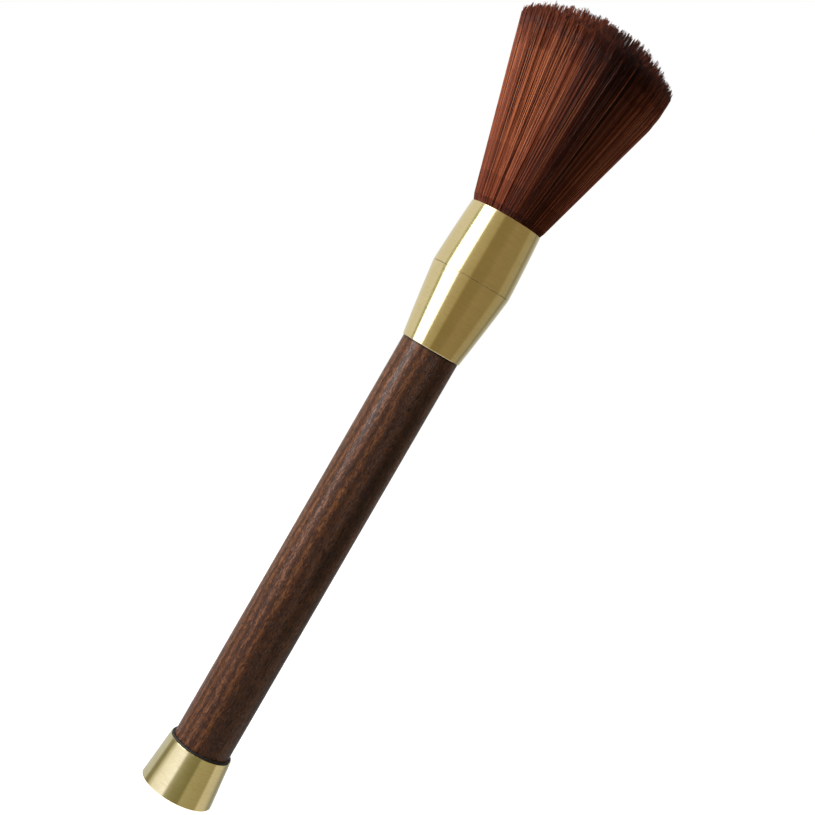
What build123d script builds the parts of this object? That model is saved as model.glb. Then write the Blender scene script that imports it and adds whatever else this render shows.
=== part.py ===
"""Neck duster brush: a slim walnut handle on a flared brass foot, with a brass ferrule that holds a round,
flared tuft of soft bristles. Millimetres, standing upright on the foot, the origin at the foot's centre.

Every piece is turned about Z, so each one is a profile in the XZ plane (x is the radius) revolved once.
"""
import math
import os

from build123d import *

os.makedirs("parts", exist_ok=True)

# ---- driving dimensions ----------------------------------------------------------------------------
HANDLE_R = 8.0            # walnut rod, a constant 16 mm
HANDLE_LENGTH = 119.8     # bare wood between the cap washer and the ferrule

CAP_HEIGHT = 13.1         # brass foot
CAP_FOOT_R = 10.2
CAP_TOP_R = 8.85
CAP_EDGE = 1.1            # rounding of the foot's lower edge
WASHER_THICK = 0.5        # black sealing washer between foot and wood
WASHER_R = 8.65

COLLAR_RIM_R = 8.3        # lower ferrule, at its rim on the wood
SHOULDER_R = 11.05        # widest point of the ferrule, at the seam
COLLAR_HEIGHT = 20.6
SLEEVE_HEIGHT = 17.95     # upper ferrule, from the seam to the mouth
MOUTH_R = 10.0
MOUTH_BORE_R = 9.75
BULGE = 0.08              # how far each ferrule wall bows out from a straight cone

HEAD_PITCH = 1.5          # thread that joins the brush head to the collar, M17 x 1.5
HEAD_TURNS = 5            # full turns that unscrew the head
HEAD_THREAD_R = 8.5
STUD_R = 3.0              # M6 x 1 stud of the foot
STUD_PITCH = 1.0
STUD_TURNS = 11           # full turns that unscrew the foot
STUD_IN_CAP = 8.0
STUD_LEAD = 0.5           # plain end of the stud beyond its engaged turns
RUNNING = 0.05            # radial clearance of a running thread
LOOSE = 0.15              # radial clearance round the seals

TUFT_SLOPE = 0.2774       # radius gained per millimetre of height along the flank
TUFT_MOUTH_R = 9.83       # where the flank leaves the mouth
TUFT_CORNER_R = 22.8      # where the flank meets the trimmed dome
TUFT_DOME = 7.9           # height of the dome above that corner
TUFT_CORNER_ARC = 3.0     # rounding between flank and dome
TUFT_NECK_R = 9.45        # ball at the tuft's lower end, inside the ferrule's mouth
FLEX_DEG = 20.0           # how far the tuft bends to each side

# ---- levels ----------------------------------------------------------------------------------------
washer_top = CAP_HEIGHT + WASHER_THICK
rim_z = washer_top + HANDLE_LENGTH           # lower rim of the ferrule
seam_z = rim_z + COLLAR_HEIGHT
spigot_top = seam_z + HEAD_TURNS * HEAD_PITCH
mouth_z = seam_z + SLEEVE_HEIGHT


# ---- brass foot ------------------------------------------------------------------------------------
TOP_CHAMFER = 0.2
STUD_HOLE_EXTRA = 0.6     # drill point below the stud

with BuildPart() as end_cap:
    with BuildSketch(Plane.XZ):
        with BuildLine():
            Polyline(
                (0, 0),
                (CAP_FOOT_R, 0),
                (CAP_TOP_R, CAP_HEIGHT),
                (0, CAP_HEIGHT),
                close=True,
            )
        make_face()
    revolve(axis=Axis.Z)
    foot_edge = end_cap.edges().filter_by(GeomType.CIRCLE).group_by(Axis.Z)[0]
    fillet(foot_edge, radius=CAP_EDGE)
    top_edge = end_cap.edges().filter_by(GeomType.CIRCLE).group_by(Axis.Z)[-1]
    chamfer(top_edge, length=TOP_CHAMFER)
    with Locations((0, 0, CAP_HEIGHT)):
        Hole(radius=STUD_R, depth=STUD_IN_CAP + STUD_HOLE_EXTRA)
end_cap.part.label = "end_cap"
export_step(end_cap.part, "parts/end_cap.step")


# ---- threaded stud fixed in the foot ---------------------------------------------------------------
STUD_CHAMFER = 0.6
stud_bottom = CAP_HEIGHT - STUD_IN_CAP
stud_top = washer_top + STUD_TURNS * STUD_PITCH + STUD_LEAD

with BuildPart() as cap_stud:
    with BuildSketch(Plane.XY.offset(stud_bottom)):
        Circle(STUD_R)
    extrude(amount=stud_top - stud_bottom)
    chamfer(cap_stud.edges().filter_by(GeomType.CIRCLE), length=STUD_CHAMFER)
cap_stud.part.label = "cap_stud"
export_step(cap_stud.part, "parts/cap_stud.step")


# ---- black sealing washer between foot and wood ----------------------------------------------------
WASHER_BORE_R = STUD_R + LOOSE
WASHER_EDGE = 0.15

with BuildPart() as cap_washer:
    with BuildSketch(Plane.XY.offset(CAP_HEIGHT)):
        Circle(WASHER_R)
        Circle(WASHER_BORE_R, mode=Mode.SUBTRACT)
    extrude(amount=WASHER_THICK)
    fillet(cap_washer.edges().filter_by(GeomType.CIRCLE).sort_by(SortBy.RADIUS)[-2:], radius=WASHER_EDGE)
cap_washer.part.label = "cap_washer"
export_step(cap_washer.part, "parts/cap_washer.step")


# ---- walnut handle, with the bores for the insert and for the collar's screw --------------------------
SOCKET_DEPTH = 14.3       # how far the wood goes up into the collar
INSERT_R = 4.0
INSERT_LENGTH = 12.0
STUD_ROOM = 2.0           # drilling past the insert, for the end of the stud
SCREW_R = 1.9
SCREW_LENGTH = 22.0
SCREW_PILOT_EXTRA = 1.0
WOOD_END_CHAMFER = 0.4
wood_top = rim_z + SOCKET_DEPTH

with BuildPart() as handle:
    with BuildSketch(Plane.XY.offset(washer_top)):
        Circle(HANDLE_R)
    extrude(amount=wood_top - washer_top)
    chamfer(handle.edges().filter_by(GeomType.CIRCLE).group_by(Axis.Z)[-1], length=WOOD_END_CHAMFER)
    with BuildSketch(Plane.XY.offset(washer_top)):
        Circle(INSERT_R)
    extrude(amount=INSERT_LENGTH, mode=Mode.SUBTRACT)
    with BuildSketch(Plane.XY.offset(washer_top + INSERT_LENGTH)):
        Circle(STUD_R + LOOSE)
    extrude(amount=STUD_ROOM, mode=Mode.SUBTRACT)
    with Locations((0, 0, wood_top)):
        Hole(radius=SCREW_R, depth=SCREW_LENGTH + SCREW_PILOT_EXTRA)
handle.part.label = "handle"
export_step(handle.part, "parts/handle.step")


# ---- threaded insert pressed into the foot end of the wood --------------------------------------------
INSERT_CHAMFER = 0.3

with BuildPart() as handle_insert:
    with BuildSketch(Plane.XY.offset(washer_top)):
        Circle(INSERT_R)
        Circle(STUD_R + RUNNING, mode=Mode.SUBTRACT)
    extrude(amount=INSERT_LENGTH)
    bore_edges = handle_insert.edges().filter_by(GeomType.CIRCLE).sort_by(SortBy.RADIUS)[:2]
    chamfer(bore_edges, length=INSERT_CHAMFER)
handle_insert.part.label = "handle_insert"
export_step(handle_insert.part, "parts/handle_insert.step")


# ---- lower ferrule: a collar on the wood, with the spigot that carries the head -------------------------
WEB = 4.0                 # floor of the wood's socket
HEAD_SOCKET_R = 6.2       # hollow of the spigot, room for the screw's head
RIM_EDGE = 0.15
SPIGOT_CHAMFER = 0.8
web_top = wood_top + WEB
collar_mid = (rim_z + seam_z) / 2
SCREW_HEAD_R = 3.9        # countersunk head, flush with the web
SCREW_HEAD_DEPTH = 2.2

with BuildPart() as ferrule_collar:
    with BuildSketch(Plane.XZ):
        with BuildLine():
            Line((HANDLE_R, rim_z), (COLLAR_RIM_R - RIM_EDGE, rim_z))
            Line((COLLAR_RIM_R - RIM_EDGE, rim_z), (COLLAR_RIM_R, rim_z + RIM_EDGE))
            ThreePointArc(
                (COLLAR_RIM_R, rim_z + RIM_EDGE),
                ((COLLAR_RIM_R + SHOULDER_R) / 2 + BULGE, collar_mid),
                (SHOULDER_R, seam_z),
            )
            Polyline(
                (SHOULDER_R, seam_z),
                (HEAD_THREAD_R, seam_z),
                (HEAD_THREAD_R, spigot_top - SPIGOT_CHAMFER),
                (HEAD_THREAD_R - SPIGOT_CHAMFER, spigot_top),
                (HEAD_SOCKET_R, spigot_top),
                (HEAD_SOCKET_R, web_top),
                (SCREW_HEAD_R, web_top),
                (SCREW_R, web_top - SCREW_HEAD_DEPTH),
                (SCREW_R, wood_top),
                (HANDLE_R, wood_top),
                (HANDLE_R, rim_z),
            )
        make_face()
    revolve(axis=Axis.Z)
ferrule_collar.part.label = "ferrule_collar"
export_step(ferrule_collar.part, "parts/ferrule_collar.step")


# ---- countersunk wood screw that holds the collar on the wood -------------------------------------------
SCREW_TIP = 5.0
SLOT_WIDTH = 1.2          # cross recess in the head
SLOT_LENGTH = 4.7
SLOT_DEPTH = 0.9
screw_tip_z = wood_top - SCREW_LENGTH

with BuildPart() as collar_screw:
    with BuildSketch(Plane.XZ):
        with BuildLine():
            Polyline(
                (0, web_top),
                (SCREW_HEAD_R, web_top),
                (SCREW_R, web_top - SCREW_HEAD_DEPTH),
                (SCREW_R, screw_tip_z + SCREW_TIP),
                (0, screw_tip_z),
                close=True,
            )
        make_face()
    revolve(axis=Axis.Z)
    with BuildSketch(Plane.XY.offset(web_top)):
        for turn in (0, 90):
            Rectangle(SLOT_LENGTH, SLOT_WIDTH, rotation=turn)
    extrude(amount=-SLOT_DEPTH, mode=Mode.SUBTRACT)
collar_screw.part.label = "collar_screw"
export_step(collar_screw.part, "parts/collar_screw.step")


# ---- flat seal at the seam ---------------------------------------------------------------------------
SEAL_THICK = 0.9
SEAL_R = 9.55

with BuildPart() as seal_ring:
    with BuildSketch(Plane.XY.offset(seam_z)):
        Circle(SEAL_R)
        Circle(HEAD_THREAD_R + LOOSE, mode=Mode.SUBTRACT)
    extrude(amount=SEAL_THICK)
seal_ring.part.label = "seal_ring"
export_step(seal_ring.part, "parts/seal_ring.step")


# ---- upper ferrule: the sleeve that holds the bristles --------------------------------------------------
SEAL_POCKET_R = SEAL_R + LOOSE
THREAD_ROOM = 1.0         # bore past the spigot's end
LEDGE_BORE_R = 9.55       # bore that holds the tuft's root
LIP = 0.12                # rounding of the mouth's thin lip
thread_top = spigot_top + THREAD_ROOM
sleeve_mid = (seam_z + mouth_z) / 2
seal_top = seam_z + SEAL_THICK

with BuildPart() as ferrule_sleeve:
    with BuildSketch(Plane.XZ):
        with BuildLine():
            ThreePointArc(
                (SHOULDER_R, seam_z),
                ((SHOULDER_R + MOUTH_R) / 2 + BULGE, sleeve_mid),
                (MOUTH_R, mouth_z - LIP),
            )
            Polyline(
                (MOUTH_R, mouth_z - LIP),
                (MOUTH_R - LIP, mouth_z),
                (MOUTH_BORE_R, mouth_z),
                (LEDGE_BORE_R, thread_top),
                (HEAD_THREAD_R + RUNNING, thread_top),
                (HEAD_THREAD_R + RUNNING, seal_top),
                (SEAL_POCKET_R, seal_top),
                (SEAL_POCKET_R, seam_z),
                (SHOULDER_R, seam_z),
            )
        make_face()
    revolve(axis=Axis.Z)
ferrule_sleeve.part.label = "ferrule_sleeve"
export_step(ferrule_sleeve.part, "parts/ferrule_sleeve.step")


# ---- resin plug that the bristles are set in -------------------------------------------------------------
PLUG_HEIGHT = 3.0
bore_slope = (MOUTH_BORE_R - LEDGE_BORE_R) / (mouth_z - thread_top)
plug_top = thread_top + PLUG_HEIGHT


def bore_r(z):
    """Radius of the sleeve's slightly tapered upper bore at height z."""
    return LEDGE_BORE_R + bore_slope * (z - thread_top)


with BuildPart() as resin_plug:
    with BuildSketch(Plane.XZ):
        with BuildLine():
            Polyline(
                (0, thread_top),
                (bore_r(thread_top), thread_top),
                (bore_r(plug_top), plug_top),
                (0, plug_top),
                close=True,
            )
        make_face()
    revolve(axis=Axis.Z)
resin_plug.part.label = "resin_plug"
export_step(resin_plug.part, "parts/resin_plug.step")


# ---- root of the bristle bundle, with the waist that its binding sits in ---------------------------------
ROOT_GAP = 0.4            # room between the root and the swinging tuft
TILT_ROOM = 1.0           # degrees beyond the flex limit that stay clear
BINDING_HEIGHT = 1.0
BINDING_DEPTH = 0.5
NECK_CUT = 0.5            # the ball is cut flat this far below the mouth
root_slope = math.tan(math.radians(FLEX_DEG + TILT_ROOM))
root_peak = mouth_z - NECK_CUT - ROOT_GAP
root_edge_z = root_peak - root_slope * LEDGE_BORE_R
waist_r = LEDGE_BORE_R - BINDING_DEPTH
waist_top = plug_top + BINDING_HEIGHT

with BuildPart() as bristle_root:
    with BuildSketch(Plane.XZ):
        with BuildLine():
            Polyline(
                (0, plug_top),
                (waist_r, plug_top),
                (waist_r, waist_top),
                (LEDGE_BORE_R, waist_top),
                (LEDGE_BORE_R, root_edge_z),
                (0, root_peak),
                close=True,
            )
        make_face()
    revolve(axis=Axis.Z)
bristle_root.part.label = "bristle_root"
export_step(bristle_root.part, "parts/bristle_root.step")


# ---- thread binding round the root -----------------------------------------------------------------------
BINDING_EDGE = 0.15

with BuildPart() as root_binding:
    with BuildSketch(Plane.XY.offset(plug_top)):
        Circle(LEDGE_BORE_R)
        Circle(waist_r, mode=Mode.SUBTRACT)
    extrude(amount=BINDING_HEIGHT)
    outer_edges = root_binding.edges().filter_by(GeomType.CIRCLE).sort_by(SortBy.RADIUS)[-2:]
    chamfer(outer_edges, length=BINDING_EDGE)
root_binding.part.label = "root_binding"
export_step(root_binding.part, "parts/root_binding.step")


# ---- free tuft: a ball neck in the mouth, a straight flare, a trimmed dome ---------------------------
SKIRT_ROOM = 1.5          # degrees beyond the flex limit between the tuft's underside and the mouth
clear_angle = math.radians(FLEX_DEG + SKIRT_ROOM)
skirt_inner = (TUFT_NECK_R * math.cos(clear_angle), mouth_z + TUFT_NECK_R * math.sin(clear_angle))
skirt_height = TUFT_MOUTH_R * math.tan(clear_angle) / (1 - TUFT_SLOPE * math.tan(clear_angle))
skirt_outer = (TUFT_MOUTH_R + TUFT_SLOPE * skirt_height, mouth_z + skirt_height)
corner_z = mouth_z + (TUFT_CORNER_R - TUFT_MOUTH_R) / TUFT_SLOPE
tuft_top = corner_z + TUFT_DOME
neck_bottom_r = math.sqrt(TUFT_NECK_R ** 2 - NECK_CUT ** 2)

# The dome is a large arc centred on the axis, met tangentially by the corner's small one.
corner_centre_r = TUFT_CORNER_R - TUFT_CORNER_ARC
dome_r = (corner_centre_r ** 2 + TUFT_DOME ** 2 - TUFT_CORNER_ARC ** 2) / (2 * (TUFT_DOME - TUFT_CORNER_ARC))
dome_centre_z = tuft_top - dome_r
meet_angle = math.atan2(corner_z - dome_centre_z, corner_centre_r)


def on_arc(centre, radius, angle):
    """The point of a profile arc at an angle from the radial direction."""
    return (centre[0] + radius * math.cos(angle), centre[1] + radius * math.sin(angle))


dome_centre = (0, dome_centre_z)
corner_centre = (corner_centre_r, corner_z)
dome_start = on_arc(dome_centre, dome_r, meet_angle)

with BuildPart() as bristle_tuft:
    with BuildSketch(Plane.XZ):
        with BuildLine():
            Line((0, mouth_z - NECK_CUT), (neck_bottom_r, mouth_z - NECK_CUT))
            ThreePointArc(
                (neck_bottom_r, mouth_z - NECK_CUT),
                (
                    TUFT_NECK_R * math.cos(clear_angle / 2),
                    mouth_z + TUFT_NECK_R * math.sin(clear_angle / 2),
                ),
                skirt_inner,
            )
            Polyline(skirt_inner, skirt_outer, (TUFT_CORNER_R, corner_z))
            ThreePointArc(
                (TUFT_CORNER_R, corner_z),
                on_arc(corner_centre, TUFT_CORNER_ARC, meet_angle / 2),
                dome_start,
            )
            ThreePointArc(
                dome_start,
                on_arc(dome_centre, dome_r, (meet_angle + math.pi / 2) / 2),
                (0, tuft_top),
            )
            Line((0, tuft_top), (0, mouth_z - NECK_CUT))
        make_face()
    revolve(axis=Axis.Z)
bristle_tuft.part.label = "bristle_tuft"
export_step(bristle_tuft.part, "parts/bristle_tuft.step")
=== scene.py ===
"""Looks of the neck duster brush: turned brass with real screw threads, a walnut handle, and a tuft made of
separate bristles. Everything is in metres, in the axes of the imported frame, and placed from its boxes.
"""

import math

import bpy
import numpy as np
from mathutils import Matrix, Vector
from mathutils.kdtree import KDTree


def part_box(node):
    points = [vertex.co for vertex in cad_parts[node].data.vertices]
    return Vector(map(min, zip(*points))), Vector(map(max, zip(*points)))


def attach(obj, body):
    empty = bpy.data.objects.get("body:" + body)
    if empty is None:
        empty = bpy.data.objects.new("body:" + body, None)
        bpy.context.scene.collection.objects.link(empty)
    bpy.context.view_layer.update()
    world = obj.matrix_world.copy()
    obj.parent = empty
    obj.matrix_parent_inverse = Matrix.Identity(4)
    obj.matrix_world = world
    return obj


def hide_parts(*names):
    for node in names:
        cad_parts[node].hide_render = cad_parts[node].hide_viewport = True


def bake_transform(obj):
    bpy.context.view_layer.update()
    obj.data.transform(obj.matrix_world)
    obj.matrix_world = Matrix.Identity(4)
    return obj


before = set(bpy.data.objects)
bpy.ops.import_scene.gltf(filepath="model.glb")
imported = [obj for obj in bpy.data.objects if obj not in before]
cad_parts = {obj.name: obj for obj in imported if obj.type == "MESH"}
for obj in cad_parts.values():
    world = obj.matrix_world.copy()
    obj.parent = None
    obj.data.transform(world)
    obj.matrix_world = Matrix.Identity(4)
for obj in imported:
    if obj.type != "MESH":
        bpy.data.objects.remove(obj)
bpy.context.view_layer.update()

MM = 0.001
TURN = 2 * math.pi
rng = np.random.default_rng(20)


# ---- levels and radii of the frame -----------------------------------------------------------------
def corners_of(node):
    """Radius and height of every vertex of a CAD node."""
    points = np.array([v.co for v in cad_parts[node].data.vertices])
    return np.hypot(points[:, 0], points[:, 1]), points[:, 2]


def widest(node, low, high):
    """Largest radius of a CAD node between two heights."""
    radius, height = corners_of(node)
    return float(radius[(height > low) & (height < high)].max())


foot_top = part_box("end_cap")[1].z
washer_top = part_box("cap_washer")[1].z
stud_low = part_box("cap_stud")[0].z
stud_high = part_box("cap_stud")[1].z
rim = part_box("ferrule_collar")[0].z
wood_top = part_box("handle")[1].z
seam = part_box("ferrule_sleeve")[0].z
seal_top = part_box("seal_ring")[1].z
spigot_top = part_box("ferrule_collar")[1].z
plug_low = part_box("resin_plug")[0].z
plug_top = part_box("resin_plug")[1].z
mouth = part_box("ferrule_sleeve")[1].z
tuft_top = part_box("bristle_tuft")[1].z

handle_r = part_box("handle")[1].x
washer_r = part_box("cap_washer")[1].x
stud_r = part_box("cap_stud")[1].x
shoulder_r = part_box("ferrule_collar")[1].x
seal_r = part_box("seal_ring")[1].x
tuft_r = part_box("bristle_tuft")[1].x
foot_r = widest("end_cap", 0.5 * MM, foot_top)
foot_top_r = widest("end_cap", foot_top - 0.3 * MM, foot_top - 0.1 * MM)
rim_r = widest("ferrule_collar", rim, rim + 0.3 * MM)
spigot_r = widest("ferrule_collar", seam + MM, spigot_top)
mouth_r = widest("ferrule_sleeve", mouth - 0.3 * MM, mouth)
bore_r = widest("resin_plug", plug_low, plug_top + MM)
screw_head_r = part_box("collar_screw")[1].x
screw_head_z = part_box("collar_screw")[1].z
screw_r = widest("collar_screw", rim - 5 * MM, rim)


# ---- node materials --------------------------------------------------------------------------------
class Recipe:
    """One node material, built up step by step round a Principled shader."""

    def __init__(self, name, **sockets):
        self.material = bpy.data.materials.new(name)
        self.material.use_nodes = True
        self.tree = self.material.node_tree
        self.shader = self.tree.nodes["Principled BSDF"]
        for socket, value in sockets.items():
            self.shader.inputs[socket.replace("_", " ")].default_value = value

    def node(self, kind, inputs=None, **settings):
        """Adds a node, with values or links for its inputs."""
        made = self.tree.nodes.new("ShaderNode" + kind)
        for key, value in settings.items():
            setattr(made, key, value)
        for socket, value in (inputs or {}).items():
            if isinstance(value, bpy.types.NodeSocket):
                self.tree.links.new(value, made.inputs[socket])
            else:
                made.inputs[socket].default_value = value
        return made

    def place(self, per_metre, shift=(0, 0, 0)):
        """The object's own coordinates, scaled to so many cells per metre along each axis."""
        coordinates = self.node("TexCoord")
        inputs = {"Vector": coordinates.outputs["Object"], "Scale": per_metre, "Location": shift}
        return self.node("Mapping", inputs).outputs["Vector"]

    def height(self):
        """Height above the floor."""
        coordinates = self.node("TexCoord")
        return self.node("SeparateXYZ", {0: coordinates.outputs["Object"]}).outputs["Z"]

    def noise(self, vector, detail=3.0, roughness=0.5, distortion=0.0):
        """Cloudy noise from 0 to 1."""
        inputs = {
            "Vector": vector,
            "Scale": 1.0,
            "Detail": detail,
            "Roughness": roughness,
            "Distortion": distortion,
        }
        return self.node("TexNoise", inputs).outputs["Fac"]

    def maths(self, operation, a, b=0.0, clamp=False):
        """One sum of two numbers."""
        return self.node("Math", {0: a, 1: b}, operation=operation, use_clamp=clamp).outputs[0]

    def spread(self, value, low, high, to_low=0.0, to_high=1.0):
        """Maps low..high smoothly on to to_low..to_high."""
        inputs = {
            "Value": value,
            "From Min": low,
            "From Max": high,
            "To Min": to_low,
            "To Max": to_high,
        }
        return self.node("MapRange", inputs, interpolation_type="SMOOTHSTEP").outputs["Result"]

    def mix(self, share, a, b, blend="MIX"):
        """A blend of two colours."""
        made = self.node("Mix", data_type="RGBA", blend_type=blend)
        for index, value in ((0, share), (6, a), (7, b)):
            if isinstance(value, bpy.types.NodeSocket):
                self.tree.links.new(value, made.inputs[index])
            else:
                made.inputs[index].default_value = value if index == 0 else (*value, 1.0)
        return made.outputs[2]

    def ramp(self, share, stops):
        """A colour ramp through (position, colour) stops."""
        made = self.node("ValToRGB", {"Fac": share})
        elements = made.color_ramp.elements
        while len(elements) < len(stops):
            elements.new(0.5)
        for element, (position, colour) in zip(elements, stops):
            element.position = position
            element.color = (*colour, 1.0)
        return made.outputs["Color"]

    def bump(self, height, depth, strength=1.0, under=None):
        """Relief of that depth in metres, on top of another relief."""
        inputs = {"Height": height, "Distance": depth, "Strength": strength}
        if under is not None:
            inputs["Normal"] = under
        return self.node("Bump", inputs).outputs["Normal"]

    def feed(self, **sockets):
        """Links outputs to the shader's sockets and hands over the finished material."""
        for socket, value in sockets.items():
            self.tree.links.new(value, self.shader.inputs[socket.replace("_", " ")])
        return self.material


def brass_material():
    """Satin turned brass: grain that runs round the piece, with a little mottling from handling."""
    brass = Recipe("satin_brass", Metallic=1.0, Anisotropic=0.3)
    tool_marks = brass.noise(brass.place((260, 260, 4200)), detail=3.0, roughness=0.7)
    fine_marks = brass.noise(brass.place((900, 900, 9000), (3, 5, 0)), detail=2.0)
    mottle = brass.noise(brass.place((160, 160, 260)), detail=4.0, roughness=0.6)
    colour = brass.mix(brass.spread(mottle, 0.3, 0.7), (0.79, 0.655, 0.36), (0.84, 0.70, 0.385))
    colour = brass.mix(brass.spread(tool_marks, 0.50, 0.72, 0.0, 0.45), colour, (0.62, 0.50, 0.24))
    colour = brass.mix(brass.spread(fine_marks, 0.50, 0.75, 0.0, 0.35), colour, (0.93, 0.82, 0.52))
    roughness = brass.spread(tool_marks, 0.3, 0.7, 0.075, 0.15)
    relief = brass.bump(tool_marks, 0.008 * MM)
    relief = brass.bump(fine_marks, 0.002 * MM, under=relief)
    tangent = brass.node("Tangent", direction_type="RADIAL", axis="Z").outputs["Tangent"]
    return brass.feed(Base_Color=colour, Roughness=roughness, Normal=relief, Tangent=tangent)


def walnut_material():
    """Oiled dark walnut: wandering growth rings, short open pores, curly figure and a few orange flecks."""
    walnut = Recipe("dark_walnut", Specular_IOR_Level=0.14, Coat_Weight=0.08, Coat_Roughness=0.22)
    wander = walnut.noise(walnut.place((90, 90, 26)), detail=3.0, roughness=0.55)
    drift_inputs = {"Vector": walnut.place((60, 60, 30), (7, 1, 4)), "Scale": 1.0, "Detail": 3.0}
    drift = walnut.node("TexNoise", drift_inputs).outputs["Color"]
    pith = walnut.place((300, 300, 16), (5.5, -8.5, 0))
    bent = walnut.node("VectorMath", {0: pith, 1: drift}, operation="ADD").outputs["Vector"]
    rings = walnut.node(
        "TexWave",
        {"Vector": bent, "Scale": 0.55, "Distortion": 5.0, "Detail": 3.0, "Detail Scale": 0.6},
        wave_type="RINGS",
        rings_direction="Z",
        wave_profile="SIN",
    ).outputs["Fac"]
    curl = walnut.noise(walnut.place((130, 130, 420), (1, 3, 5)), detail=2.0, roughness=0.6)
    long_pores = walnut.noise(walnut.place((3000, 3000, 420)), detail=3.0, roughness=0.65, distortion=0.6)
    short_pores = walnut.noise(walnut.place((3800, 3800, 1100), (2, 9, 1)), detail=3.0, distortion=0.5)
    flecks = walnut.noise(walnut.place((2200, 2200, 700), (4, 4, 8)), detail=3.0, roughness=0.75)

    figure = walnut.maths("MULTIPLY", rings, 0.40)
    for layer, weight in ((wander, 0.35), (curl, 0.25)):
        figure = walnut.maths("ADD", figure, walnut.maths("MULTIPLY", layer, weight))
    colour = walnut.ramp(
        figure,
        [
            (0.22, (0.045, 0.015, 0.006)),
            (0.42, (0.095, 0.033, 0.012)),
            (0.58, (0.140, 0.050, 0.019)),
            (0.80, (0.215, 0.088, 0.038)),
        ],
    )
    colour = walnut.mix(walnut.spread(flecks, 0.56, 0.70, 0.0, 0.6), colour, (0.34, 0.140, 0.060))
    dark_lines = walnut.spread(long_pores, 0.50, 0.60, 0.0, 0.85)
    dark_dots = walnut.spread(short_pores, 0.52, 0.62, 0.0, 0.8)
    pores = walnut.maths("MAXIMUM", dark_lines, dark_dots)
    colour = walnut.mix(pores, colour, (0.022, 0.007, 0.003))
    # Painted shade: the wood is darkened in a thin band just below the brass collar's rim, where its overhang
    # shades it.
    painted_shade_below_collar = walnut.spread(walnut.height(), rim - 0.9 * MM, rim - 0.1 * MM, 0.0, 0.75)
    colour = walnut.mix(painted_shade_below_collar, colour, (0.012, 0.004, 0.002))
    roughness = walnut.spread(short_pores, 0.3, 0.7, 0.25, 0.40)
    relief = walnut.bump(walnut.maths("SUBTRACT", 1.0, pores), 0.10 * MM)
    relief = walnut.bump(flecks, 0.01 * MM, under=relief)
    return walnut.feed(Base_Color=colour, Roughness=roughness, Normal=relief)


# The filament's plain shades, from nearly black to tan, each set by how much red it has.
SHADES = 14
FILAMENT_REDS = np.geomspace(0.012, 0.60, SHADES)


def filament_materials():
    """One plain material for each shade of filament."""
    materials = []
    for i, red in enumerate(FILAMENT_REDS):
        paleness = (i / (SHADES - 1)) ** 3
        colour = (red, red * (0.15 + 0.19 * paleness), red * (0.05 + 0.08 * paleness), 1.0)
        recipe = Recipe(f"filament_{i + 1}", Base_Color=colour, Roughness=0.36, Specular_IOR_Level=0.14)
        materials.append(recipe.material)
    return materials


def rubber_material():
    """Matt black rubber with a fine moulded grain."""
    rubber = Recipe("black_rubber", Specular_IOR_Level=0.3)
    grain = rubber.noise(rubber.place((4000, 4000, 4000)), detail=3.0)
    colour = rubber.mix(grain, (0.006, 0.006, 0.006), (0.016, 0.015, 0.014))
    roughness = rubber.spread(grain, 0.3, 0.7, 0.5, 0.75)
    return rubber.feed(Base_Color=colour, Roughness=roughness, Normal=rubber.bump(grain, 0.01 * MM))


def steel_material():
    """Zinc-plated steel, as screws and studs have."""
    steel = Recipe("zinc_plated_steel", Metallic=1.0)
    bloom = steel.noise(steel.place((700, 700, 700)), detail=4.0, roughness=0.65)
    colour = steel.mix(steel.spread(bloom, 0.3, 0.7), (0.48, 0.49, 0.52), (0.66, 0.66, 0.66))
    roughness = steel.spread(bloom, 0.3, 0.7, 0.22, 0.38)
    return steel.feed(Base_Color=colour, Roughness=roughness, Normal=steel.bump(bloom, 0.003 * MM))


def resin_material():
    """Set amber resin with small clouds in it."""
    resin = Recipe("amber_resin", Specular_IOR_Level=0.5, Coat_Weight=0.4, Coat_Roughness=0.1)
    clouds = resin.noise(resin.place((600, 600, 600)), detail=4.0, roughness=0.6, distortion=0.8)
    colour = resin.ramp(
        clouds, [(0.3, (0.30, 0.18, 0.07)), (0.55, (0.52, 0.36, 0.16)), (0.8, (0.66, 0.52, 0.30))]
    )
    roughness = resin.spread(clouds, 0.3, 0.7, 0.18, 0.3)
    return resin.feed(Base_Color=colour, Roughness=roughness)


def twine_material():
    """Waxed binding thread: strands wound round the bundle."""
    twine = Recipe("waxed_thread", Specular_IOR_Level=0.3)
    winding = twine.node(
        "TexWave",
        {"Vector": twine.place((40, 40, 900)), "Scale": 1.0, "Distortion": 0.4},
        bands_direction="Z",
    ).outputs["Fac"]
    fibres = twine.noise(twine.place((3000, 3000, 9000)), detail=2.0)
    colour = twine.mix(fibres, (0.10, 0.045, 0.025), (0.21, 0.11, 0.06))
    roughness = twine.spread(fibres, 0.3, 0.7, 0.55, 0.8)
    return twine.feed(Base_Color=colour, Roughness=roughness, Normal=twine.bump(winding, 0.08 * MM))


brass = brass_material()
walnut = walnut_material()
filaments = filament_materials()
rubber = rubber_material()
steel = steel_material()
resin = resin_material()
twine = twine_material()


# ---- turned pieces ---------------------------------------------------------------------------------
SIDES = 192  # corners round a turned piece
ROUNDING_STEPS = 4
SHARP = math.radians(38)  # edges sharper than this stay crisp
CREST, ROOT = 0.88, 0.25  # shares of half a pitch where a thread's crest and root flats begin


def add_piece(name, vertices, faces):
    """A new object in the scene, made of those vertices and faces."""
    mesh = bpy.data.meshes.new(name)
    mesh.from_pydata(vertices, [], faces)
    piece = bpy.data.objects.new(name, mesh)
    bpy.context.scene.collection.objects.link(piece)
    return piece


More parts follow.
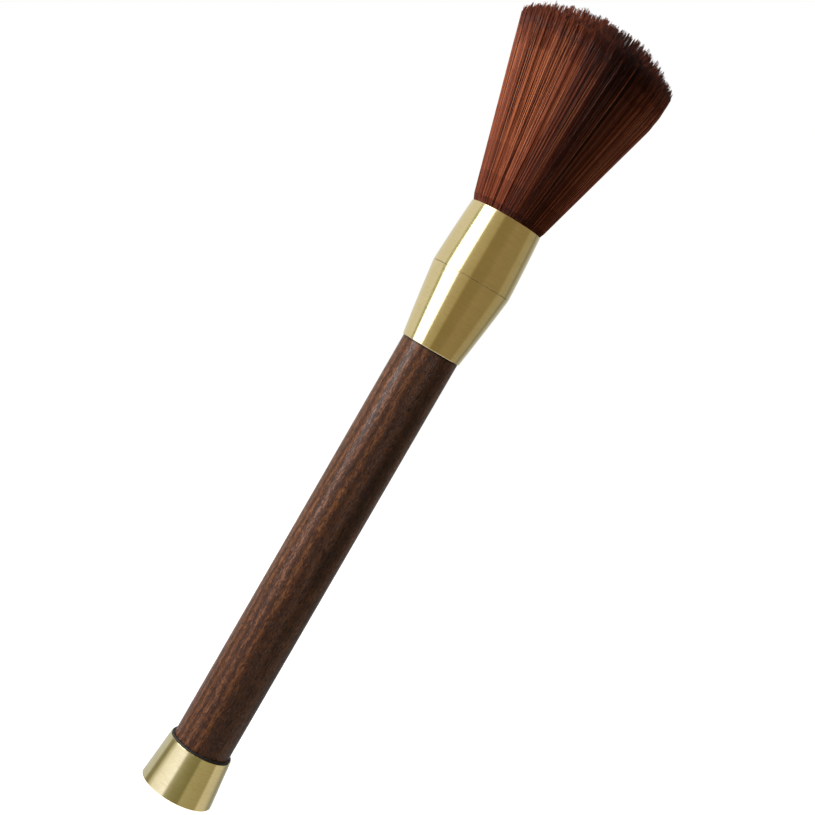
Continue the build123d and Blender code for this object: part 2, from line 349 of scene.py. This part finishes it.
def soften(corners):
    """Rounds an outline. Each corner is (radius, height, rounding)."""
    path = []
    for i, (r, z, rounding) in enumerate(corners):
        corner = Vector((r, z))
        if rounding == 0:
            path.append((r, z))
            continue
        before = Vector(corners[i - 1][:2]) - corner
        after = Vector(corners[(i + 1) % len(corners)][:2]) - corner
        reach = rounding / math.tan(before.angle(after) / 2)
        reach = min(reach, 0.45 * before.length, 0.45 * after.length)
        start = corner + before.normalized() * reach
        end = corner + after.normalized() * reach
        for step in range(ROUNDING_STEPS + 1):
            t = step / ROUNDING_STEPS
            point = start * (1 - t) ** 2 + corner * 2 * t * (1 - t) + end * t**2
            path.append((point.x, point.y))
    return path


def wall(start, end, bulge=0.0, steps=14):
    """Unrounded outline points along a shallow bow between two places, closest together near its ends."""
    a, b = Vector(start), Vector(end)
    side = Vector((b.y - a.y, a.x - b.x)).normalized() * bulge
    points = []
    for step in range(1, steps):
        t = 0.5 - 0.5 * math.cos(math.pi * step / steps)
        point = a.lerp(b, t) + side * 4 * t * (1 - t)
        points.append((point.x, point.y, 0))
    return points


def turned(name, path, cut=None, sides=SIDES):
    """A closed surface of revolution. The path of (radius, height) points either starts and ends on the
    axis or runs right round a hollow section. cut(radius, height, angle) gives the radius of a thread."""
    solid = path[0][0] == 0
    angles = [TURN * k / sides for k in range(sides)]
    vertices, rings = [], []
    for r, z in path:
        if r == 0:
            rings.append([len(vertices)] * sides)
            vertices.append((0, 0, z))
            continue
        rings.append(list(range(len(vertices), len(vertices) + sides)))
        for angle in angles:
            radius = cut(r, z, angle) if cut else r
            vertices.append((radius * math.cos(angle), radius * math.sin(angle), z))
    pairs = list(zip(rings, rings[1:])) + ([] if solid else [(rings[-1], rings[0])])
    faces = []
    for low, high in pairs:
        for k in range(sides):
            n = (k + 1) % sides
            loop = [low[k], low[n], high[n], high[k]]
            faces.append([v for i, v in enumerate(loop) if v not in loop[:i]])
    piece = add_piece(name, vertices, faces)
    piece.data.shade_smooth()
    piece.data.set_sharp_from_angle(angle=SHARP)
    piece.data.update()
    return piece


def helix(pitch, depth, low, high, outside):
    """A right-hand thread between two heights, for turned(). Both halves of a joint share the helix, so they
    stay in mesh while one screws off the other. The thread fades out over the last half pitch at each end."""

    def cut(r, z, angle):
        if not low < z < high or not outside(r):
            return r
        phase = (z / pitch - angle / TURN) % 1.0
        ridge = abs(2 * phase - 1)
        groove = min(max((CREST - ridge) / (CREST - ROOT), 0.0), 1.0)
        fade = min((z - low) / (0.5 * pitch), (high - z) / (0.5 * pitch), 1.0)
        return r - depth * groove * fade

    return cut


def thread_levels(r, low, high, pitch, per_turn=12):
    """Outline points up a thread, close enough to show its flanks."""
    count = round((high - low) / pitch * per_turn)
    return [(r, low + (high - low) * k / count, 0) for k in range(count + 1)]


def finish_piece(piece, material, body, slot, *nodes):
    """Gives a new piece its material and body, and hides the CAD nodes that it stands for."""
    piece.data.materials.clear()
    piece.data.materials.append(material)
    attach(piece, body)
    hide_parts(*nodes)


HEAD_PITCH, STUD_PITCH = 1.5 * MM, 1.0 * MM
HEAD_THREAD, STUD_THREAD = 0.75 * MM, 0.55 * MM  # depth of the two threads
PLAY = 0.06 * MM  # between the two halves of the head's thread
CLEAR = 0.15 * MM  # round a part that sits loosely in a bore
BULGE = 0.08 * MM  # bow of the ferrule's two cones
EDGE = 0.18 * MM  # rounding of the visible brass edges
SEAM_GAP = 0.05 * MM  # half of the fine dark line between the two ferrule pieces


def build_foot():
    """Flared brass foot: a rounded lower edge, a turned underside with a dimple, and a bored top."""
    dimple_r, dimple_depth, recess = 1.4 * MM, 0.35 * MM, 0.05 * MM
    groove_r, groove_side, groove_depth = 0.62 * foot_r, 0.3 * MM, 0.22 * MM
    chamfer, drill_point = 0.5 * MM, 0.4 * MM
    hole_low = stud_low - 0.6 * MM
    low_corner = (foot_r + 0.14 * MM, 0)  # its rounding brings the edge back to the frame's radius
    top_corner = (foot_top_r, foot_top)
    outline = [
        (0, dimple_depth, 0),
        (dimple_r, recess, 0.05 * MM),
        (groove_r - groove_side, recess, 0.04 * MM),
        (groove_r, groove_depth, 0.05 * MM),
        (groove_r + groove_side, 0, 0.04 * MM),
        *wall((groove_r + groove_side, 0), low_corner, steps=4),
        (*low_corner, 1.0 * MM),
        *wall(low_corner, top_corner),
        (*top_corner, 0.22 * MM),
        (stud_r + chamfer, foot_top, 0),
        (stud_r, foot_top - chamfer, 0),
        (stud_r, hole_low, 0),
        (0, hole_low - drill_point, 0),
    ]
    piece = turned("foot_turned", soften(outline))
    finish_piece(piece, brass, "foot", "brass", "end_cap")


def build_stud():
    """M6 stud with its real thread."""
    chamfer = 0.6 * MM
    outline = [
        (0, stud_low, 0),
        (stud_r - chamfer, stud_low, 0),
        *thread_levels(stud_r, stud_low + chamfer, stud_high - chamfer, STUD_PITCH),
        (stud_r - chamfer, stud_high, 0),
        (0, stud_high, 0),
    ]
    cut = helix(STUD_PITCH, STUD_THREAD, foot_top, stud_high, lambda r: r > stud_r - 0.1 * MM)
    piece = turned("stud_threaded", soften(outline), cut, sides=72)
    finish_piece(piece, steel, "foot", "steel", "cap_stud")


def build_washer():
    """Black rubber washer, squeezed so that its rim bows out a little."""
    washer_bore, bow = stud_r + CLEAR, 0.05 * MM
    low_corner, top_corner = (washer_r - bow, foot_top), (washer_r - bow, washer_top)
    outline = [
        (washer_bore, foot_top, 0.1 * MM),
        (*low_corner, 0.15 * MM),
        *wall(low_corner, top_corner, bulge=bow, steps=4),
        (*top_corner, 0.15 * MM),
        (washer_bore, washer_top, 0.1 * MM),
    ]
    piece = turned("washer_rubber", soften(outline))
    finish_piece(piece, rubber, "foot_washer", "seal", "cap_washer")


def build_handle():
    """Walnut rod with its bores, and slightly eased ends."""
    insert_r, insert_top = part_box("handle_insert")[1].x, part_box("handle_insert")[1].z
    room_r, room_top = stud_r + CLEAR, insert_top + 2.0 * MM
    pilot_low, drill_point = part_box("collar_screw")[0].z - MM, 0.6 * MM
    outline = [
        (insert_r, washer_top, 0.05 * MM),
        (handle_r, washer_top, 0.15 * MM),
        *wall((handle_r, washer_top), (handle_r, wood_top), steps=40),
        (handle_r, wood_top, 0.4 * MM),
        (screw_r, wood_top, 0),
        (screw_r, pilot_low, 0),
        (0, pilot_low - drill_point, 0),
    ]
    # The lower bore closes off the solid, so that the pilot hole above stays a separate hollow.
    lower = [(0, room_top, 0), (room_r, room_top, 0), (room_r, insert_top, 0), (insert_r, insert_top, 0)]
    piece = turned("handle_walnut", soften(lower + outline))
    finish_piece(piece, walnut, "handle", "walnut", "handle")


def build_collar():
    """Lower ferrule: brass collar on the wood, with the threaded spigot that takes the head."""
    web_top, socket_r = screw_head_z, 6.2 * MM
    countersink, lead_in = 2.2 * MM, 0.6 * MM
    undercut, undercut_top = 0.5 * MM, seam + 0.6 * MM
    low_corner, shoulder = (rim_r, rim), (shoulder_r, seam - SEAM_GAP)
    outline = [
        (handle_r, rim, 0.04 * MM),
        (*low_corner, EDGE),
        *wall(low_corner, shoulder, BULGE),
        (*shoulder, 0.03 * MM),
        (spigot_r - undercut, seam, 0.05 * MM),
        (spigot_r - undercut, undercut_top, 0),
        *thread_levels(spigot_r, seam + 0.9 * MM, spigot_top - lead_in, HEAD_PITCH),
        (spigot_r - lead_in, spigot_top, 0.05 * MM),
        (socket_r, spigot_top, 0.2 * MM),
        (socket_r, web_top, 0.1 * MM),
        (screw_head_r, web_top, 0),
        (screw_r, web_top - countersink, 0),
        (screw_r, wood_top, 0),
        (handle_r, wood_top, 0.05 * MM),
    ]
    cut = helix(HEAD_PITCH, HEAD_THREAD, seam + 0.7 * MM, spigot_top, lambda r: r > spigot_r - 0.1 * MM)
    piece = turned("collar_turned", soften(outline), cut)
    finish_piece(piece, brass, "handle", "brass", "ferrule_collar")


def build_sleeve():
    """Upper ferrule: brass sleeve, threaded inside, with a thin rolled lip round the bristles."""
    pocket_r = seal_r + CLEAR
    thread_r = spigot_r + PLAY
    lip_r = bore_r + 0.12 * MM  # the bore widens a little towards the lip
    shoulder, mouth_corner = (shoulder_r, seam + SEAM_GAP), (mouth_r, mouth)
    outline = [
        (pocket_r, seam, 0.05 * MM),
        (*shoulder, 0.03 * MM),
        *wall(shoulder, mouth_corner, BULGE),
        (*mouth_corner, EDGE),
        (lip_r, mouth, EDGE),
        *wall((lip_r, mouth), (bore_r, plug_low), steps=4),
        (bore_r, plug_low, 0),
        *reversed(thread_levels(thread_r, seal_top + 0.1 * MM, plug_low - 0.05 * MM, HEAD_PITCH)),
        (thread_r, seal_top, 0),
        (pocket_r, seal_top, 0),
    ]
    cut = helix(HEAD_PITCH, HEAD_THREAD, seal_top, plug_low, lambda r: r < thread_r + 0.1 * MM)
    piece = turned("sleeve_turned", soften(outline), cut)
    finish_piece(piece, brass, "head", "brass", "ferrule_sleeve")


build_foot()
build_stud()
build_washer()
build_handle()
build_collar()
build_sleeve()

CAD_LOOKS = {
    "handle_insert": (brass, "brass"),
    "collar_screw": (steel, "steel"),
    "seal_ring": (rubber, "seal"),
    "resin_plug": (resin, "resin"),
    "root_binding": (twine, "bristle"),
}
for node, (material, slot) in CAD_LOOKS.items():
    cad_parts[node].data.materials.clear()
    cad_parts[node].data.materials.append(material)


# ---- bristles --------------------------------------------------------------------------------------
BRISTLES = 15000
SHELL_SHARE = 0.42  # share of them in the bundle's outer shell
SHELL_DEPTH = 0.10  # share of the bundle's radius that the shell takes
LOOSE_SHARE, LOOSE_ANGLE = 0.006, 0.02  # small errors of place across the bundle
LOCKS = 6  # pieces that the bristles are shared between
GOLDEN_ANGLE = math.pi * (3 - math.sqrt(5))
STRAND_R = 0.10 * MM
neck_r = mouth_r - 0.12 * MM  # radius of the bundle in the mouth

# The flare and its trimmed end.
FLARE = 0.2774  # sideways travel of an outer bristle per unit of height
DOME, CROWN = 8.4 * MM, 2.2  # height of the trimmed dome, and how flat its middle is
SLOPE = 1.1 * MM  # how far the dome tilts down on the right and up on the left
NARROWER = 0.070  # share by which the flare is narrower on the right and wider on the left
CLUMPS = 2600
PULL = 0.72  # how far a clump's tips draw together
PULL_FROM = 0.80  # share of a bristle's length where that begins, and where the strand begins to taper
TIP_TAPER = 0.55  # share of the strand's radius lost by the tip
CLUMP_UNEVEN, STRAND_UNEVEN = 0.45 * MM, 0.12 * MM  # spread of the lengths
SHORTEST = 0.5 * MM  # how much the rare short bristle lacks
STRAY, STRAY_OVER = 0.014, 30 * MM  # spread in radians of the bristles' bearings, gained over this height
ROOT_CLEAR = 0.2 * MM  # between the resin plug and the bristles' roots

# Rings along one bristle, closest where its colour changes fastest: in the painted shade at the ferrule's
# mouth, and where it darkens at the tip.
ALONG = np.array([0.0, 0.115, 0.150, 0.26, 0.40, 0.56, 0.72, 0.84, 0.925, 1.0])
STATIONS = len(ALONG)

# A bristle's tone, from dark at 0 to pale at 1, sets its red. Painted shade takes some of it away at the
# ferrule's mouth and low in the tuft, and the tips are made darker as well.
TONE_REDS = ([0.0, 0.30, 0.60, 0.85, 1.0], [0.018, 0.11, 0.30, 0.48, 0.66])
PAINTED_SHADE_AND_DARK_TIPS = ([0.12, 0.16, 0.35, 0.60, 0.82, 0.92, 1.0], [0.22, 0.50, 0.76, 0.90, 1.0, 0.66, 0.34])
MIDDLE_TONE = 0.50
CLUMP_TONES, STRAND_TONES, STATION_TONES = 0.05, 0.25, 0.09  # spreads of the tone
# Painted shade: a dark streak up the front of the tuft, a little right of the middle, stands in for the shade
# there.
STREAK_SHADE_DEPTH = 0.42  # how much tone the streak of painted shade takes away
STREAK_BEARING = math.radians(14)  # from the front towards the right
STREAK_WIDTH, STREAK_WIDENS_OVER = math.radians(9), 50 * MM  # its width at the mouth, twice that higher up
STREAK_DARKENS_OVER = 38 * MM


def smooth(t):
    """Eases 0..1."""
    t = np.clip(t, 0, 1)
    return t * t * (3 - 2 * t)


def disc(count):
    """Points in a unit disc: evenly spread ones, and a denser shell where the bundle is seen."""
    inner = int(count * (1 - SHELL_SHARE))
    k = np.arange(inner) + 0.5
    radius = np.concatenate([np.sqrt(k / inner), 1 - SHELL_DEPTH * rng.random(count - inner) ** 1.5])
    angle = np.concatenate([k * GOLDEN_ANGLE, TURN * rng.random(count - inner)])
    radius = np.clip(radius + rng.normal(0, LOOSE_SHARE, count), 0, 1)
    return radius, angle + rng.normal(0, LOOSE_ANGLE, count)


def gather(share, angle):
    """Nearest of the randomly placed clumps for every bristle, and where that clump's point is."""
    picked = rng.choice(BRISTLES, CLUMPS, replace=False)
    spots = np.stack([share * np.cos(angle), share * np.sin(angle), np.zeros(BRISTLES)], axis=1)
    tree = KDTree(CLUMPS)
    for i, k in enumerate(picked):
        tree.insert(spots[k], i)
    tree.balance()
    clump = np.array([tree.find(spot)[1] for spot in spots])
    centre_share, centre_angle = share[picked][clump], angle[picked][clump]
    centre_angle = angle + (centre_angle - angle + math.pi) % TURN - math.pi
    return clump, centre_share, centre_angle


def trimmed_height(share, angle):
    """Height of the trimmed end above a point of the unit disc: a shallow dome, lower to the right."""
    dome = tuft_top - DOME * share**CROWN
    return dome - SLOPE * share * np.cos(angle)


def painted_shade_streak(turn, height):
    """Share of a streak of painted shade that runs up the front, a little right of the middle, and widens to
    the tips.
    """
    front = turn + 0.25 * TURN
    away = (front - STREAK_BEARING + math.pi) % TURN - math.pi
    width = STREAK_WIDTH * (1 + smooth((height - mouth) / STREAK_WIDENS_OVER))
    return np.exp(-((away / width) ** 2)) * smooth((height - mouth) / STREAK_DARKENS_OVER)


def bristle_paths():
    """Centre line and tone of every bristle, as arrays over bristles and stations."""
    share, angle = disc(BRISTLES)
    clump, centre_share, centre_angle = gather(share, angle)
    top = trimmed_height(share, angle) + rng.normal(0, CLUMP_UNEVEN, CLUMPS)[clump]
    top += rng.normal(0, STRAND_UNEVEN, BRISTLES) - SHORTEST * rng.random(BRISTLES) ** 6
    start = plug_top + ROOT_CLEAR
    height = start + (top - start)[:, None] * ALONG[None, :]
    above = np.maximum(height - mouth, 0)

    # Near their tips the bristles of a clump draw together into a point.
    pull = PULL * smooth((ALONG - PULL_FROM) / (1 - PULL_FROM))[None, :]
    own = share[:, None] + (centre_share - share)[:, None] * pull
    turn = angle[:, None] + (centre_angle - angle)[:, None] * pull
    turn = turn + rng.normal(0, STRAY, (BRISTLES, 1)) * smooth(above / STRAY_OVER)
    radius = own * (neck_r + FLARE * above)
    radius = np.minimum(radius, bore_r - STRAND_R + above)

    # The right-hand side of the flare is narrower: its outer bristles turn upright near the trimmed end.
    limit = tuft_r * (1 - NARROWER * np.cos(turn))
    radius = np.where(radius > limit - MM, limit - MM * np.exp(-(radius - limit + MM) / MM), radius)
    x, y = radius * np.cos(turn), radius * np.sin(turn)

    tone = MIDDLE_TONE + rng.normal(0, CLUMP_TONES, CLUMPS)[clump] + rng.normal(0, STRAND_TONES, BRISTLES)
    # Painted shade: tone is taken away along the streak up the front.
    tone = tone[:, None] + rng.normal(0, STATION_TONES, turn.shape) - STREAK_SHADE_DEPTH * painted_shade_streak(turn, height)
    return np.stack([x, y, height], axis=2), np.clip(tone, 0, 1)


def tubes(centres):
    """Vertices and faces of three-sided, tapered tubes along centre lines: all the sides, then the ends."""
    count = len(centres)
    taper = STRAND_R * (1 - TIP_TAPER * smooth((ALONG - PULL_FROM) / (1 - PULL_FROM)))
    spin = TURN * rng.random(count)
    corners = spin[:, None] + np.array([0, TURN / 3, 2 * TURN / 3])[None, :]
    ring = np.stack([np.cos(corners), np.sin(corners), np.zeros_like(corners)], axis=2)
    points = centres[:, :, None, :] + taper[None, :, None, None] * ring[:, None, :, :]

    base = (np.arange(count) * STATIONS * 3)[:, None, None]
    level = (np.arange(STATIONS - 1) * 3)[None, :, None]
    side = np.arange(3)[None, None, :]
    a = base + level + side
    b = base + level + (side + 1) % 3
    quads = np.stack([a, b, b + 3, a + 3], axis=3).reshape(-1, 4)
    first = np.arange(count) * STATIONS * 3
    last = first + (STATIONS - 1) * 3
    lower = np.stack([first + 2, first + 1, first], axis=1)
    upper = np.stack([last, last + 1, last + 2], axis=1)
    return points.reshape(-1, 3).tolist(), quads.tolist() + lower.tolist() + upper.tolist()


def face_shades(tone):
    """Number of the filament's shade for every face of the tubes, from the tones at their stations."""
    middle = (tone[:, 1:] + tone[:, :-1]) / 2
    reach = (ALONG[1:] + ALONG[:-1]) / 2
    # The red is lowered by painted shade near the ferrule and low in the tuft, and made darker towards the
    # tips.
    red = np.interp(middle, *TONE_REDS) * np.interp(reach, *PAINTED_SHADE_AND_DARK_TIPS)[None, :]
    steps = np.log(red / FILAMENT_REDS[0]) / np.log(FILAMENT_REDS[1] / FILAMENT_REDS[0])
    shade = np.clip(np.rint(steps), 0, SHADES - 1).astype(np.int32)
    return np.concatenate([np.repeat(shade.ravel(), 3), shade[:, 0], shade[:, -1]])


def build_strands(name, centres, tone):
    """One piece made of separate bristles."""
    piece = add_piece(name, *tubes(centres))
    piece.data.shade_smooth()
    for material in filaments:
        piece.data.materials.append(material)
    piece.data.polygons.foreach_set("material_index", face_shades(tone))
    return piece


centres, tones = bristle_paths()
for lock in range(LOCKS):
    mine = np.arange(BRISTLES) % LOCKS == lock
    piece = build_strands(f"bristles_{lock + 1}", centres[mine], tones[mine])
    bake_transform(piece)
    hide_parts("bristle_tuft", "bristle_root")


# ---- floor, light and camera -----------------------------------------------------------------------
WHITE, BLACK = (1.0, 1.0, 1.0, 1.0), (0.0, 0.0, 0.0, 1.0)
FLOOR_REACH = 6.0
FLOOR_GLOW = 0.93  # brings the floor up to the backdrop's white
FILL = 0.12  # strength of the light from all round
TENT_R, TENT_LOW, TENT_HIGH = 0.32, -0.12, 0.9
TENT_SIDES = 96
TENT_END_GLOW = 1.5


def add_square(name, reach, z):
    """A level square round the brush's axis."""
    corners = [(-reach, -reach, z), (reach, -reach, z), (reach, reach, z), (-reach, reach, z)]
    return add_piece(name, corners, [(0, 1, 2, 3)])


def hide_from_all_but_mirrors(piece):
    """Leaves a piece in reflections only, so that it gives neither light nor shade."""
    piece.visible_camera = False
    piece.visible_diffuse = False
    piece.visible_shadow = False


def build_floor():
    """A plain, pale, wide floor that the brush stands on."""
    floor = add_square("floor", FLOOR_REACH, 0)
    paper = Recipe(
        "white_paper",
        Roughness=0.9,
        Specular_IOR_Level=0.1,
        Emission_Color=WHITE,
        Emission_Strength=FLOOR_GLOW,
    )
    grain = paper.noise(paper.place((30, 30, 30)), detail=2.0)
    colour = paper.mix(grain, (0.76, 0.76, 0.76), (0.80, 0.80, 0.80))
    floor.data.materials.append(paper.feed(Base_Color=colour))
    floor.visible_glossy = False
    floor.visible_diffuse = False


# What the brass mirrors: softboxes and flags on the wall of a round light tent, as (degrees from the front
# towards the right, colour). The foot mirrors the strip below the floor's level, the ferrule the wall above.
UPPER_TENT = [
    (-180, (0.78, 0.77, 0.72)),
    (-91, (0.74, 0.73, 0.68)),
    (-88, (0.38, 0.40, 0.27)),
    (-80, (0.40, 0.42, 0.30)),
    (-77, (2.60, 2.75, 3.15)),
    (-41, (2.60, 2.75, 3.15)),
    (-37, (0.48, 0.43, 0.29)),
    (-8, (0.42, 0.36, 0.22)),
    (-3, (0.26, 0.205, 0.10)),
    (26, (0.265, 0.21, 0.11)),
    (38, (0.31, 0.245, 0.14)),
    (84, (0.29, 0.235, 0.13)),
    (92, (0.38, 0.33, 0.22)),
    (116, (0.38, 0.35, 0.26)),
    (124, (0.24, 0.23, 0.18)),
    (150, (0.50, 0.50, 0.48)),
    (180, (0.78, 0.77, 0.72)),
]
LOWER_TENT = [
    (-180, (0.62, 0.66, 0.68)),
    (-112, (0.62, 0.66, 0.70)),
    (-104, (0.28, 0.28, 0.20)),
    (-92, (0.26, 0.25, 0.17)),
    (-84, (0.54, 0.55, 0.46)),
    (-70, (0.95, 0.98, 1.10)),
    (-46, (1.08, 1.14, 1.35)),
    (-29, (1.20, 1.28, 1.55)),
    (-22, (0.42, 0.43, 0.36)),
    (-8, (0.29, 0.29, 0.19)),
    (16, (0.23, 0.22, 0.12)),
    (21, (0.22, 0.21, 0.11)),
    (26, (0.42, 0.40, 0.27)),
    (78, (0.36, 0.33, 0.20)),
    (84, (0.66, 0.64, 0.55)),
    (112, (0.62, 0.60, 0.52)),
    (136, (0.28, 0.29, 0.26)),
    (180, (0.62, 0.66, 0.68)),
]
BRIGHTEST = 3.2  # a ramp's colours end at 1, so they are shares of this strength
STRIP_TOP, WALL_FOOT = -22 * MM, -10 * MM  # the lower strip blends into the wall between these levels


def build_tent():
    """The tent's wall. Only mirroring surfaces see it, so that it gives reflections and not light."""
    angles = [TURN * k / TENT_SIDES for k in range(TENT_SIDES)]
    ring = [(TENT_R * math.cos(angle), TENT_R * math.sin(angle)) for angle in angles]
    vertices = [(x, y, z) for z in (TENT_LOW, TENT_HIGH) for x, y in ring]
    faces = []
    for k in range(TENT_SIDES):
        n = (k + 1) % TENT_SIDES
        faces.append((k, n, TENT_SIDES + n, TENT_SIDES + k))
    tent = add_piece("tent", vertices, faces)

    cloth = Recipe(
        "tent_wall",
        Base_Color=BLACK,
        Roughness=1.0,
        Specular_IOR_Level=0.0,
        Emission_Strength=BRIGHTEST,
    )
    place = cloth.node("SeparateXYZ", {0: cloth.node("TexCoord").outputs["Object"]}).outputs
    azimuth = cloth.maths("ARCTAN2", place["X"], cloth.maths("MULTIPLY", place["Y"], -1.0))
    share = cloth.maths("ADD", cloth.maths("MULTIPLY", azimuth, 1 / TURN), 0.5)
    panels = []
    for stops in (LOWER_TENT, UPPER_TENT):
        scaled = [(degrees / 360 + 0.5, [c / BRIGHTEST for c in colour]) for degrees, colour in stops]
        panels.append(cloth.ramp(share, scaled))
    light = cloth.mix(cloth.spread(place["Z"], STRIP_TOP, WALL_FOOT), *panels)
    tent.data.materials.append(cloth.feed(Emission_Color=light))
    hide_from_all_but_mirrors(tent)


def build_tent_ends():
    """The tent's pale roof and base, mirrored in the bevels of the brass."""
    for name, z in (("tent_roof", TENT_HIGH), ("tent_base", TENT_LOW)):
        end = add_square(name, 1.2 * TENT_R, z)
        cloth = Recipe(
            name,
            Base_Color=BLACK,
            Specular_IOR_Level=0.0,
            Emission_Color=WHITE,
            Emission_Strength=TENT_END_GLOW,
        )
        end.data.materials.append(cloth.material)
        hide_from_all_but_mirrors(end)


LAMP_AIM = Vector((0, 0, 120)) * MM


def build_lamp(name, bearing, distance, height, size, power, mirrored):
    """A tall soft lamp that lights the wood and the bristles, at a bearing in degrees from the front."""
    data = bpy.data.lights.new(name, "AREA")
    data.shape, data.energy = "RECTANGLE", power
    data.size, data.size_y = size
    lamp = bpy.data.objects.new(name, data)
    bpy.context.scene.collection.objects.link(lamp)
    angle = math.radians(bearing)
    place = Vector((distance * math.sin(angle), -distance * math.cos(angle), height))
    aim = LAMP_AIM - place
    lamp.matrix_world = Matrix.Translation(place) @ aim.to_track_quat("-Z", "Y").to_matrix().to_4x4()
    lamp.visible_glossy = mirrored
    lamp.visible_camera = False


def build_world():
    """A white backdrop, with a little light from all round."""
    world = bpy.data.worlds.new("backdrop")
    world.use_nodes = True
    bpy.context.scene.world = world
    tree = world.node_tree
    tree.nodes.clear()
    seen = tree.nodes.new("ShaderNodeLightPath")
    both = tree.nodes.new("ShaderNodeMixShader")
    output = tree.nodes.new("ShaderNodeOutputWorld")
    tree.links.new(seen.outputs["Is Camera Ray"], both.inputs[0])
    for i, strength in ((1, FILL), (2, 1.0)):
        light = tree.nodes.new("ShaderNodeBackground")
        light.inputs["Color"].default_value = WHITE
        light.inputs["Strength"].default_value = strength
        tree.links.new(light.outputs[0], both.inputs[i])
    tree.links.new(both.outputs[0], output.inputs["Surface"])


CAMERA = Vector((2.32, -367.0, 138.3)) * MM
AIM = Vector((2.32, 0.0, 117.4)) * MM
LENS, SENSOR = 62.81, 36.0
ROLL = math.radians(30.07)  # the brush leans this far to the right in the picture


def build_camera():
    """The photograph's view: level with the upper handle, rolled so that the brush leans."""
    data = bpy.data.cameras.new("camera")
    data.lens, data.sensor_width = LENS, SENSOR
    data.clip_start, data.clip_end = 0.01, 100.0
    camera = bpy.data.objects.new("camera", data)
    bpy.context.scene.collection.objects.link(camera)
    look = (AIM - CAMERA).normalized()
    level_right = look.cross(Vector((0, 0, 1))).normalized()
    level_up = level_right.cross(look)
    right = math.cos(ROLL) * level_right + math.sin(ROLL) * level_up
    up = -math.sin(ROLL) * level_right + math.cos(ROLL) * level_up
    axes = Matrix((right, up, -look)).transposed()
    camera.matrix_world = Matrix.Translation(CAMERA) @ axes.to_4x4()
    bpy.context.scene.camera = camera


build_floor()
build_tent()
build_tent_ends()
build_lamp("key_lamp", bearing=-66, distance=1.1, height=0.35, size=(0.30, 0.9), power=24.0, mirrored=True)
build_lamp("rim_lamp", bearing=108, distance=1.1, height=0.30, size=(0.35, 0.9), power=5.0, mirrored=False)
build_world()
build_camera()
bpy.context.scene.view_settings.view_transform = "Standard"
